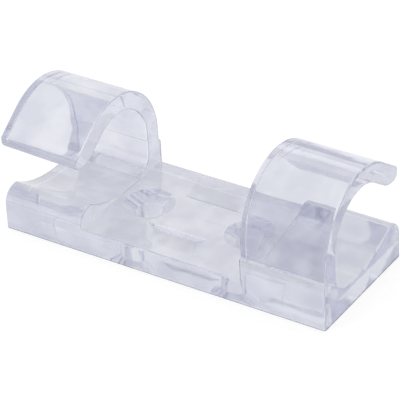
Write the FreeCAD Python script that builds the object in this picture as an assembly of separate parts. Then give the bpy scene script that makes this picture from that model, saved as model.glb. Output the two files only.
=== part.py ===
import FreeCAD, Part
import math
import os

V = FreeCAD.Vector
os.makedirs("parts", exist_ok=True)

# Frame: X runs along the cable, Y from the front edge to the back edge, Z up, and the origin is the
# centre of the underside. The right hook rises from the front edge and opens at the back. The left
# hook is the same hook after half a turn about Z. Sections are drawn as (distance from the face the
# hook rises from, height), in millimetres.
LENGTH = 42.0
WIDTH = 16.5
HALF_LENGTH = LENGTH / 2
HALF_WIDTH = WIDTH / 2
HOOK_LENGTH = 10.5
HOOK_START = HALF_LENGTH - HOOK_LENGTH

# Low middle of the base, with its two countersunk holes and two ramped hollows. The hollow by the
# back edge is the front one after half a turn, set a little nearer to the left hook.
MIDDLE_HEIGHT = 3.0
MIDDLE_ROUND = 0.25
HOLE_TO_HOOK = 3.75
HOLE_X = HOOK_START - HOLE_TO_HOOK
HOLE_RADIUS = 1.6
SINK_RADIUS = 3.0
SINK_DEPTH = 1.0
SINK_RIM_WIDTH = 0.4
SINK_RIM_DEPTH = 0.3
RAMP_RIM = 0.4
RAMP_REACH = 5.0
RAMP_DEPTH = 0.6
RAMP_LEAN = 0.85
RAMP_HALF_EDGE = 3.85
RAMP_HALF_INNER = 3.9
RAMP_HALF_FLOOR = 2.45
RAMP_WALL_RUN = 0.15
RAMP_BACK_OFFSET = 1.05

# Base under a hook: the outer face steps in by a ledge where the hook begins.
ROOT_HEIGHT = 5.9
LEDGE = 0.25
LEDGE_RISE = 0.12
ROOT_WALL = 2.5

# Channel that carries the cable, and the rail along its open side, which rounds over down to the
# level of the middle.
CHANNEL_FLOOR = 2.9
CHANNEL_CORNER = 2.6
CHANNEL_LOWEST = 7.0
RAIL_TOP = 5.0
RAIL_CREST = 0.27
RAIL_ROUND = RAIL_TOP - MIDDLE_HEIGHT

# Hook: the arch, then a straight lip of even thickness that runs down to a rounded nose. The outer
# arch starts flush with the stepped face and the inner one with the root's inner face.
OUTER_RADIUS = 8.0
ARCH_WALL = 2.5
INNER_RADIUS = OUTER_RADIUS - ARCH_WALL
ARCH_HEIGHT = 7.6
INNER_LIFT = 0.3
OUTER_CENTRE = (LEDGE + OUTER_RADIUS, ARCH_HEIGHT)
INNER_CENTRE = (ROOT_WALL + INNER_RADIUS, ARCH_HEIGHT + INNER_LIFT)
LIP_SLOPE = 36.0
LIP_BELLY_RADIUS = 2.8
LIP_LAND = 0.25
NOSE_RADIUS = 0.9
TIP_CORNER = 0.35
# Run of the lip past the arch, across the cable, at the hook's two ends.
LIP_RUN_INNER_END = 3.45
LIP_RUN_OUTER_END = 3.1
LIP_SPARE = 1.0

# Small roundings of the moulding.
OUTER_END_ROUND = 0.25
INNER_END_ROUND = 0.15


def spot(point, x=0.0):
    return V(x, point[0] - HALF_WIDTH, point[1])


def on_circle(centre, radius, degrees):
    a = math.radians(degrees)
    return (centre[0] + radius * math.cos(a), centre[1] + radius * math.sin(a))


def down_lip(start, run):
    return (start[0] + run, start[1] - run * math.tan(math.radians(LIP_SLOPE)))


def arc(centre, radius, start, end):
    points = [on_circle(centre, radius, d) for d in (start, (start + end) / 2, end)]
    return Part.Arc(*[spot(p) for p in points]).toShape()


def line(a, b):
    return Part.makeLine(spot(a), spot(b))


ARCH_OUTER_END = on_circle(OUTER_CENTRE, OUTER_RADIUS, 90 - LIP_SLOPE)
ARCH_INNER_END = on_circle(INNER_CENTRE, INNER_RADIUS, 90 - LIP_SLOPE)
TIP_INNER_END = ARCH_OUTER_END[0] + LIP_RUN_INNER_END
TIP_OUTER_END = ARCH_OUTER_END[0] + LIP_RUN_OUTER_END

# Underside of the lip: it turns level on a belly arc, a short land before the nose.
TURN = math.radians(LIP_SLOPE)
BELLY_END_X = TIP_OUTER_END - NOSE_RADIUS - LIP_LAND
BELLY_START_X = BELLY_END_X - LIP_BELLY_RADIUS * math.sin(TURN)
BELLY_START = down_lip(ARCH_INNER_END, BELLY_START_X - ARCH_INNER_END[0])
LIP_BOTTOM = BELLY_START[1] - LIP_BELLY_RADIUS * (1 - math.cos(TURN))


def hook_section():
    """Closed outline of base, channel, rail and hook, walked from the lower front corner upwards."""
    ledge_inner = (LEDGE, ROOT_HEIGHT + LEDGE_RISE)
    # The lip is drawn too long here, and free_edge() cuts it back.
    too_far = TIP_INNER_END + LIP_SPARE
    tip_top = down_lip(ARCH_OUTER_END, too_far - ARCH_OUTER_END[0])
    tip_bottom = (too_far, min(LIP_BOTTOM, tip_top[1] - LIP_LAND))
    belly_centre = (BELLY_END_X, LIP_BOTTOM + LIP_BELLY_RADIUS)
    corner = (ROOT_WALL + CHANNEL_CORNER, CHANNEL_FLOOR + CHANNEL_CORNER)
    # The floor leaves its lowest point level and rises on one arc to the near side of the crest.
    crest = (WIDTH - RAIL_ROUND - RAIL_CREST, RAIL_TOP)
    run = crest[0] - CHANNEL_LOWEST
    rise_angle = 2 * math.atan((RAIL_TOP - CHANNEL_FLOOR) / run)
    rise_radius = run / math.sin(rise_angle)
    rise_centre = (CHANNEL_LOWEST, CHANNEL_FLOOR + rise_radius)
    rail_centre = (WIDTH - RAIL_ROUND, RAIL_TOP - RAIL_ROUND)
    edges = [
        line((0, 0), (0, ROOT_HEIGHT)),
        line((0, ROOT_HEIGHT), ledge_inner),
        line(ledge_inner, (LEDGE, OUTER_CENTRE[1])),
        arc(OUTER_CENTRE, OUTER_RADIUS, 180, 90 - LIP_SLOPE),
        line(ARCH_OUTER_END, tip_top),
        line(tip_top, tip_bottom),
        line(tip_bottom, (BELLY_END_X, LIP_BOTTOM)),
        arc(belly_centre, LIP_BELLY_RADIUS, -90, -90 - LIP_SLOPE),
        line(BELLY_START, ARCH_INNER_END),
        arc(INNER_CENTRE, INNER_RADIUS, 90 - LIP_SLOPE, 180),
        line((ROOT_WALL, INNER_CENTRE[1]), (ROOT_WALL, corner[1])),
        arc(corner, CHANNEL_CORNER, 180, 270),
        line((corner[0], CHANNEL_FLOOR), (CHANNEL_LOWEST, CHANNEL_FLOOR)),
        arc(rise_centre, rise_radius, -90, math.degrees(rise_angle) - 90),
        line(crest, (rail_centre[0], RAIL_TOP)),
        arc(rail_centre, RAIL_ROUND, 90, 0),
        line((WIDTH, rail_centre[1]), (WIDTH, 0)),
        line((WIDTH, 0), (0, 0)),
    ]
    return Part.Wire(Part.__sortEdges__(edges))


def edges_on_end(shape, x):
    found = []
    for edge in shape.Edges:
        box = edge.BoundBox
        flat = abs(box.XMin - x) < 1e-4 and abs(box.XMax - x) < 1e-4
        if flat and not (box.ZMax < 1e-4):
            found.append(edge)
    return found


def plain_hook():
    solid = Part.Face(hook_section()).extrude(V(HOOK_LENGTH, 0, 0))
    solid.translate(V(HOOK_START, 0, 0))
    return solid


def tip_edge(solid, side):
    """Long lower (-1) or upper (1) edge of the lip's free end."""
    near_tip = TIP_OUTER_END - NOSE_RADIUS / 2 - HALF_WIDTH
    long_edges = []
    for edge in solid.Edges:
        box = edge.BoundBox
        if box.XLength > HOOK_LENGTH - 2 * OUTER_END_ROUND and box.YMin > near_tip and box.ZMin > RAIL_TOP:
            long_edges.append((side * box.Center.z, len(long_edges), edge))
    return max(long_edges)[2]


def free_edge(solid):
    """Free edge of the lip: cut at a slant, so that it reaches less far at the outer end, and rounded."""
    y_near = TIP_INNER_END - HALF_WIDTH
    y_far = TIP_OUTER_END - HALF_WIDTH
    run = (y_far - y_near) / HOOK_LENGTH
    y_out = TIP_INNER_END + 2 * LIP_SPARE - HALF_WIDTH
    bottom = (RAIL_TOP + LIP_BOTTOM) / 2
    height = ARCH_OUTER_END[1] - bottom
    corners = [
        V(HOOK_START - 1, y_near - run, bottom),
        V(HALF_LENGTH + 1, y_far + run, bottom),
        V(HALF_LENGTH + 1, y_out, bottom),
        V(HOOK_START - 1, y_out, bottom),
    ]
    slant = Part.Face(Part.makePolygon(corners + corners[:1])).extrude(V(0, 0, height))
    cut = solid.cut(slant).Solids[0]
    cut = cut.makeFillet(NOSE_RADIUS, [tip_edge(cut, -1)])
    return cut.makeFillet(TIP_CORNER, [tip_edge(cut, 1)])


def half_turn(shape):
    turned = shape.copy()
    turned.rotate(V(0, 0, 0), V(0, 0, 1), 180)
    return turned


def edge_rounding():
    """Tool that rounds the long front edge of the low middle."""
    centre = (MIDDLE_ROUND, MIDDLE_HEIGHT - MIDDLE_ROUND)
    edges = [
        arc(centre, MIDDLE_ROUND, 90, 180),
        line((0, centre[1]), (-1, centre[1])),
        line((-1, centre[1]), (-1, MIDDLE_HEIGHT + 1)),
        line((-1, MIDDLE_HEIGHT + 1), (MIDDLE_ROUND, MIDDLE_HEIGHT + 1)),
        line((MIDDLE_ROUND, MIDDLE_HEIGHT + 1), (MIDDLE_ROUND, MIDDLE_HEIGHT)),
    ]
    section = Part.Face(Part.Wire(Part.__sortEdges__(edges)))
    section.translate(V(-HOOK_START, 0, 0))
    return section.extrude(V(2 * HOOK_START, 0, 0))


def countersunk_hole(x):
    """Screw hole: a bevelled rim, the cone for the screw head, then the straight hole for the shank."""
    profile = [
        V(0, 0, -1),
        V(HOLE_RADIUS, 0, -1),
        V(HOLE_RADIUS, 0, MIDDLE_HEIGHT - SINK_DEPTH),
        V(SINK_RADIUS - SINK_RIM_WIDTH, 0, MIDDLE_HEIGHT - SINK_RIM_DEPTH),
        V(SINK_RADIUS, 0, MIDDLE_HEIGHT),
        V(SINK_RADIUS, 0, MIDDLE_HEIGHT + 1),
        V(0, 0, MIDDLE_HEIGHT + 1),
    ]
    hole = Part.Face(Part.makePolygon(profile + profile[:1])).revolve(V(0, 0, 0), V(0, 0, 1), 360)
    hole.translate(V(x, 0, 0))
    return hole


def ramped_hollow():
    """Hollow by the front edge: its floor falls from the edge inward to a steep inner wall.

    Its inner end lies nearer to the left hook than its outer end."""
    near = -HALF_WIDTH + RAMP_RIM
    far = -HALF_WIDTH + RAMP_REACH
    up = MIDDLE_HEIGHT + 1
    low = MIDDLE_HEIGHT - RAMP_DEPTH
    a = [V(s * RAMP_HALF_EDGE, near, MIDDLE_HEIGHT) for s in (-1, 1)]
    b = [V(s * RAMP_HALF_INNER - RAMP_LEAN, far, MIDDLE_HEIGHT) for s in (-1, 1)]
    c = [V(s * RAMP_HALF_FLOOR - RAMP_LEAN, far - RAMP_WALL_RUN, low) for s in (-1, 1)]
    at = [V(p.x, p.y, up) for p in a]
    bt = [V(p.x, p.y, up) for p in b]
    faces = [
        [a[0], a[1], c[1], c[0]],
        [c[0], c[1], b[1], b[0]],
        [a[0], c[0], b[0]],
        [a[1], b[1], c[1]],
        [a[0], b[0], bt[0], at[0]],
        [a[1], at[1], bt[1], b[1]],
        [b[0], b[1], bt[1], bt[0]],
        [a[0], at[0], at[1], a[1]],
        [at[0], bt[0], bt[1], at[1]],
    ]
    shell = Part.Shell([Part.Face(Part.makePolygon(f + f[:1])) for f in faces])
    solid = Part.Solid(shell)
    if solid.Volume < 0:
        solid.reverse()
    return solid


hook = free_edge(plain_hook())
hook = hook.makeFillet(OUTER_END_ROUND, edges_on_end(hook, HALF_LENGTH)).Solids[0]
middle = Part.makeBox(2 * HOOK_START, WIDTH, MIDDLE_HEIGHT, V(-HOOK_START, -HALF_WIDTH, 0))
body = middle.fuse([hook, half_turn(hook)]).removeSplitter().Solids[0]

inner_edges = []
for x in (HOOK_START, -HOOK_START):
    for edge in edges_on_end(body, x):
        if edge.BoundBox.ZMin > MIDDLE_HEIGHT + INNER_END_ROUND:
            inner_edges.append(edge)
body = body.makeFillet(INNER_END_ROUND, inner_edges)

hollow = ramped_hollow()
back_hollow = half_turn(hollow)
back_hollow.translate(V(-RAMP_BACK_OFFSET, 0, 0))
rounding = edge_rounding()
body = body.cut([rounding, half_turn(rounding)])
body = body.cut([hollow, back_hollow, countersunk_hole(HOLE_X), countersunk_hole(-HOLE_X)])
body = body.removeSplitter().Solids[0]
body.exportStep("parts/clip_body.step")
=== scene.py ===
import math

import bmesh
import bpy
from mathutils import Matrix, Vector


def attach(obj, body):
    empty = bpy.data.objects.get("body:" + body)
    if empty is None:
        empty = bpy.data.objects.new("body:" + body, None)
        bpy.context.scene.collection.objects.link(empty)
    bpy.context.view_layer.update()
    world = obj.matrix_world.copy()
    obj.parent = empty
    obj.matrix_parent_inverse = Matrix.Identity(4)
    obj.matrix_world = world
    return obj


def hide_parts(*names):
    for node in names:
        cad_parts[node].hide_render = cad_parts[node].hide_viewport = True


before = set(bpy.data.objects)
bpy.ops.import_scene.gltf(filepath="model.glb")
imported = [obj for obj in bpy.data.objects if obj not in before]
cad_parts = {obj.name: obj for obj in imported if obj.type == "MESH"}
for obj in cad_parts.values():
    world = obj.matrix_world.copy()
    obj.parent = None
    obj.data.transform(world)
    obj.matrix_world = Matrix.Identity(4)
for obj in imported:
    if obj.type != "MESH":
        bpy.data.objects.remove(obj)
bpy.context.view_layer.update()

# The photograph's own camera, found from the straight edges of the clip. Lengths in metres.
CAMERA_AZIMUTH = 34.3778
CAMERA_ELEVATION = 32.7035
CAMERA_ROLL = -3.1849
CAMERA_DISTANCE = 0.267024
CAMERA_TARGET = Vector((0.0002247, 0.0, 0.0055471))
CAMERA_FOCAL_PIXELS = 2398.83
PICTURE_PIXELS = 400.0
SENSOR_MM = 36.0
NEAREST_SEEN = 0.01
FARTHEST_SEEN = 10.0

# Studio: a white sheet just under the clip and an even pale surround. Both are plain white where the
# camera sees them, and a little less where they are seen in gloss or through plastic.
FLOOR_SIZE = 3.0
FLOOR_GAP = 0.0001
FLOOR_WHITE = 0.35
FLOOR_LIFT_SEEN = 0.74
FLOOR_LIFT_THROUGH = 0.68
SURROUND = 0.9
# A soft window behind the clip is mirrored in the level top of its middle, and a wide one low in
# front is mirrored in the hooks.
BACK_WINDOW = dict(place=(-0.285, 0.416, 0.324), size=0.16, power=0.05)
FRONT_WINDOW = dict(place=(-0.28, -0.50, 0.16), size=0.40, power=0.5)

# The visible clip: vertices closer than this are one, and edges steeper than this stay crisp.
MERGE_DISTANCE = 2e-7
CRISP_ANGLE = math.radians(24.0)

# Clear plastic. Its colour drifts slightly, as thickness and flow do in a moulding. Near an edge a
# painted shade darkens it where the surface turns away and a painted highlight lightens it where it
# faces the camera. Scales are per metre, lengths and heights in metres.
IOR = 1.45
TINT_CLEAR = (0.82, 0.83, 0.885, 1.0)
TINT_CLOUD = (0.71, 0.72, 0.80, 1.0)
CLOUD_SCALE = 240.0
CLOUD_FROM = 0.42
CLOUD_TO = 0.58
EDGE_REACH = 0.0004
EDGE_REACH_SAMPLES = 12
EDGE_ROUND = 0.0003
EDGE_ROUND_SAMPLES = 8
EDGE_FROM = 0.95
EDGE_TO = 0.60
FACING_BLEND = 0.5
AWAY_FROM = 0.38
AWAY_TO = 0.70
# Painted shade for edges that turn away from the camera, and a painted highlight for edges that face it.
PAINTED_EDGE_SHADE = (0.03, 0.03, 0.07, 1.0)
PAINTED_EDGE_HIGHLIGHT = (0.97, 0.975, 1.0, 1.0)
ROUGH_FROM = 0.35
ROUGH_TO = 0.65
ROUGH_LEAST = 0.03
ROUGH_MOST = 0.08
WAVE_SCALE = 330.0
WAVE_HEIGHT = 0.00003
FLOW_STRETCH = (0.35, 1.0, 1.0)
FLOW_SCALE = 900.0
FLOW_HEIGHT = 0.000001
BODY_COLOUR = (0.72, 0.74, 0.88, 1.0)
BODY_DENSITY = 20.0

# A ray stays inside clear plastic for many reflections before it comes out.
ALL_BOUNCES = 32
SURFACE_BOUNCES = 24


def place_camera():
    azimuth, elevation, roll = (math.radians(a) for a in (CAMERA_AZIMUTH, CAMERA_ELEVATION, CAMERA_ROLL))
    back = Vector((
        math.sin(azimuth) * math.cos(elevation),
        -math.cos(azimuth) * math.cos(elevation),
        math.sin(elevation),
    ))
    level_right = Vector((math.cos(azimuth), math.sin(azimuth), 0.0))
    level_up = back.cross(level_right)
    right = math.cos(roll) * level_right + math.sin(roll) * level_up
    up = back.cross(right)
    camera = bpy.data.objects.new("camera", bpy.data.cameras.new("camera"))
    bpy.context.scene.collection.objects.link(camera)
    place = Matrix((right, up, back)).transposed().to_4x4()
    place.translation = CAMERA_TARGET + back * CAMERA_DISTANCE
    camera.matrix_world = place
    camera.data.sensor_width = SENSOR_MM
    camera.data.sensor_fit = "HORIZONTAL"
    camera.data.lens = CAMERA_FOCAL_PIXELS * SENSOR_MM / PICTURE_PIXELS
    camera.data.clip_start = NEAREST_SEEN
    camera.data.clip_end = FARTHEST_SEEN
    bpy.context.scene.camera = camera


def node_material(name):
    material = bpy.data.materials.new(name)
    material.use_nodes = True
    tree = material.node_tree
    tree.nodes.clear()
    return material, tree


def add(tree, kind, x, y, **values):
    node = tree.nodes.new(kind)
    node.location = (x, y)
    for key, value in values.items():
        setattr(node, key, value)
    return node


def noise(tree, coordinates, x, y, scale, detail, name):
    node = add(tree, "ShaderNodeTexNoise", x, y, name=name)
    node.inputs["Scale"].default_value = scale
    node.inputs["Detail"].default_value = detail
    tree.links.new(coordinates, node.inputs["Vector"])
    return node.outputs["Fac"]


def spread(tree, value, x, y, start, end, low, high, name):
    """A value that runs from start to end, spread over low to high."""
    node = add(tree, "ShaderNodeMapRange", x, y, name=name)
    node.inputs["From Min"].default_value = start
    node.inputs["From Max"].default_value = end
    node.inputs["To Min"].default_value = low
    node.inputs["To Max"].default_value = high
    tree.links.new(value, node.inputs["Value"])
    return node.outputs["Result"]


def blend(tree, factor, x, y, first, second, name):
    node = add(tree, "ShaderNodeMix", x, y, data_type="RGBA", name=name)
    tree.links.new(factor, node.inputs["Factor"])
    for socket, colour in ((node.inputs["A"], first), (node.inputs["B"], second)):
        if isinstance(colour, tuple):
            socket.default_value = colour
        else:
            tree.links.new(colour, socket)
    return node.outputs["Result"]


def clear_moulding():
    """Clear moulded plastic: faint lavender body, drifting tint, painted edge shade and highlight, soft
    waves and fine flow lines.
    """
    material, tree = node_material("clear_moulding")
    out = add(tree, "ShaderNodeOutputMaterial", 400, 0)
    plastic = add(tree, "ShaderNodeBsdfPrincipled", 0, 0, name="plastic")
    plastic.inputs["IOR"].default_value = IOR
    plastic.inputs["Transmission Weight"].default_value = 1.0
    place = add(tree, "ShaderNodeTexCoord", -1400, 0).outputs["Object"]
    edge = add(tree, "ShaderNodeBevel", -1200, 600, name="edge", samples=EDGE_ROUND_SAMPLES)
    edge.inputs["Radius"].default_value = EDGE_ROUND

    cloud = noise(tree, place, -1000, 300, CLOUD_SCALE, 2.0, "clouds")
    cloud = spread(tree, cloud, -800, 300, CLOUD_FROM, CLOUD_TO, 0.0, 1.0, "cloud_range")
    tint = blend(tree, cloud, -600, 300, TINT_CLEAR, TINT_CLOUD, "tint")
    # Painted edge shade and highlight: near an edge the colour goes dark where the surface turns away
    # from the camera and light where it faces it.
    close = add(tree, "ShaderNodeAmbientOcclusion", -1000, 900, name="close")
    close.inside = True
    close.only_local = True
    close.samples = EDGE_REACH_SAMPLES
    close.inputs["Distance"].default_value = EDGE_REACH
    painted_edge_mask = spread(tree, close.outputs["AO"], -800, 900, EDGE_FROM, EDGE_TO, 0.0, 1.0, "painted_edge_mask")
    facing = add(tree, "ShaderNodeLayerWeight", -1000, 600)
    facing.inputs["Blend"].default_value = FACING_BLEND
    tree.links.new(edge.outputs["Normal"], facing.inputs["Normal"])
    away = spread(tree, facing.outputs["Facing"], -800, 600, AWAY_FROM, AWAY_TO, 0.0, 1.0, "away")
    painted_edge_light = blend(tree, away, -600, 600, PAINTED_EDGE_HIGHLIGHT, PAINTED_EDGE_SHADE, "painted_edge_light")
    tint = blend(tree, painted_edge_mask, -300, 300, tint, painted_edge_light, "tint_and_painted_edge_light")
    tree.links.new(tint, plastic.inputs["Base Color"])

    waves = noise(tree, place, -1000, -100, WAVE_SCALE, 1.0, "waves")
    rough = spread(tree, waves, -600, 0, ROUGH_FROM, ROUGH_TO, ROUGH_LEAST, ROUGH_MOST, "rough")
    tree.links.new(rough, plastic.inputs["Roughness"])

    stretch = add(tree, "ShaderNodeMapping", -1200, -400, name="stretch")
    stretch.inputs["Scale"].default_value = FLOW_STRETCH
    tree.links.new(place, stretch.inputs["Vector"])
    flow = noise(tree, stretch.outputs["Vector"], -1000, -400, FLOW_SCALE, 2.0, "flow")
    wave_bump = add(tree, "ShaderNodeBump", -600, -200, name="wave_bump")
    wave_bump.inputs["Strength"].default_value = 1.0
    wave_bump.inputs["Distance"].default_value = WAVE_HEIGHT
    tree.links.new(waves, wave_bump.inputs["Height"])
    flow_bump = add(tree, "ShaderNodeBump", -300, -200, name="flow_bump")
    flow_bump.inputs["Strength"].default_value = 1.0
    flow_bump.inputs["Distance"].default_value = FLOW_HEIGHT
    tree.links.new(flow, flow_bump.inputs["Height"])
    tree.links.new(wave_bump.outputs["Normal"], flow_bump.inputs["Normal"])
    tree.links.new(flow_bump.outputs["Normal"], plastic.inputs["Normal"])
    tree.links.new(plastic.outputs["BSDF"], out.inputs["Surface"])

    body = add(tree, "ShaderNodeVolumeAbsorption", 0, -400, name="body")
    body.inputs["Color"].default_value = BODY_COLOUR
    body.inputs["Density"].default_value = BODY_DENSITY
    tree.links.new(body.outputs["Volume"], out.inputs["Volume"])
    return material


def floor_material():
    """White paper that takes the clip's shadow, with a lift on top for each way that it is seen."""
    material, tree = node_material("studio_white")
    out = add(tree, "ShaderNodeOutputMaterial", 600, 0)
    paper = add(tree, "ShaderNodeBsdfDiffuse", 0, 0, name="paper")
    paper.inputs["Color"].default_value = (FLOOR_WHITE, FLOOR_WHITE, FLOOR_WHITE, 1.0)
    path = add(tree, "ShaderNodeLightPath", -800, -200)
    inside = add(tree, "ShaderNodeMath", -600, -300, operation="MAXIMUM")
    tree.links.new(path.outputs["Is Glossy Ray"], inside.inputs[0])
    tree.links.new(path.outputs["Is Transmission Ray"], inside.inputs[1])
    seen = add(tree, "ShaderNodeMath", -400, -100, operation="MULTIPLY", name="lift_seen")
    seen.inputs[1].default_value = FLOOR_LIFT_SEEN
    tree.links.new(path.outputs["Is Camera Ray"], seen.inputs[0])
    through = add(tree, "ShaderNodeMath", -400, -300, operation="MULTIPLY", name="lift_through")
    through.inputs[1].default_value = FLOOR_LIFT_THROUGH
    tree.links.new(inside.outputs[0], through.inputs[0])
    lift = add(tree, "ShaderNodeMath", -200, -200, operation="MAXIMUM")
    tree.links.new(seen.outputs[0], lift.inputs[0])
    tree.links.new(through.outputs[0], lift.inputs[1])
    glow = add(tree, "ShaderNodeEmission", 200, -200)
    tree.links.new(lift.outputs[0], glow.inputs["Strength"])
    both = add(tree, "ShaderNodeAddShader", 400, 0)
    tree.links.new(paper.outputs[0], both.inputs[0])
    tree.links.new(glow.outputs[0], both.inputs[1])
    tree.links.new(both.outputs[0], out.inputs["Surface"])
    return material


def studio_floor():
    mesh = bpy.data.meshes.new("floor")
    shape = bmesh.new()
    bmesh.ops.create_grid(shape, x_segments=1, y_segments=1, size=FLOOR_SIZE)
    shape.to_mesh(mesh)
    shape.free()
    mesh.transform(Matrix.Translation((0.0, 0.0, -FLOOR_GAP)))
    floor = bpy.data.objects.new("floor", mesh)
    bpy.context.scene.collection.objects.link(floor)
    floor.data.materials.append(floor_material())


def world_light():
    world = bpy.data.worlds.new("studio")
    bpy.context.scene.world = world
    world.use_nodes = True
    tree = world.node_tree
    background = tree.nodes["Background"]
    background.inputs["Color"].default_value = (1.0, 1.0, 1.0, 1.0)
    path = add(tree, "ShaderNodeLightPath", -600, 0)
    seen = add(tree, "ShaderNodeMath", -300, 0, operation="MAXIMUM", name="surround")
    seen.inputs[1].default_value = SURROUND
    tree.links.new(path.outputs["Is Camera Ray"], seen.inputs[0])
    tree.links.new(seen.outputs[0], background.inputs["Strength"])


def soft_lamp(name, place, size, power):
    """A soft lamp that is mirrored in plastic and paper, but isn't seen through the plastic."""
    light = bpy.data.lights.new(name, "AREA")
    light.shape = "DISK"
    light.size = size
    light.energy = power
    lamp = bpy.data.objects.new(name, light)
    bpy.context.scene.collection.objects.link(lamp)
    lamp.location = place
    lamp.rotation_euler = (-Vector(place)).to_track_quat("-Z", "Y").to_euler()
    lamp.visible_transmission = False


def smooth_piece(node, name, material):
    """The node's own form as one closed skin, whose curves are shaded evenly up to each crisp edge."""
    shape = bmesh.new()
    shape.from_mesh(node.data)
    bmesh.ops.remove_doubles(shape, verts=shape.verts, dist=MERGE_DISTANCE)
    for face in shape.faces:
        face.smooth = True
    for edge in shape.edges:
        edge.smooth = edge.calc_face_angle(0.0) < CRISP_ANGLE
    mesh = bpy.data.meshes.new(name)
    shape.to_mesh(mesh)
    shape.free()
    mesh.materials.append(material)
    piece = bpy.data.objects.new(name, mesh)
    bpy.context.scene.collection.objects.link(piece)
    even = piece.modifiers.new("even_shading", "WEIGHTED_NORMAL")
    even.keep_sharp = True
    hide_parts("clip_body")
    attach(piece, "root")


place_camera()
studio_floor()
world_light()
soft_lamp("back_window", **BACK_WINDOW)
soft_lamp("front_window", **FRONT_WINDOW)
smooth_piece(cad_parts["clip_body"], "clip", clear_moulding())

scene = bpy.context.scene
scene.view_settings.view_transform = "Standard"
scene.cycles.max_bounces = ALL_BOUNCES
scene.cycles.glossy_bounces = SURFACE_BOUNCES
scene.cycles.transmission_bounces = SURFACE_BOUNCES
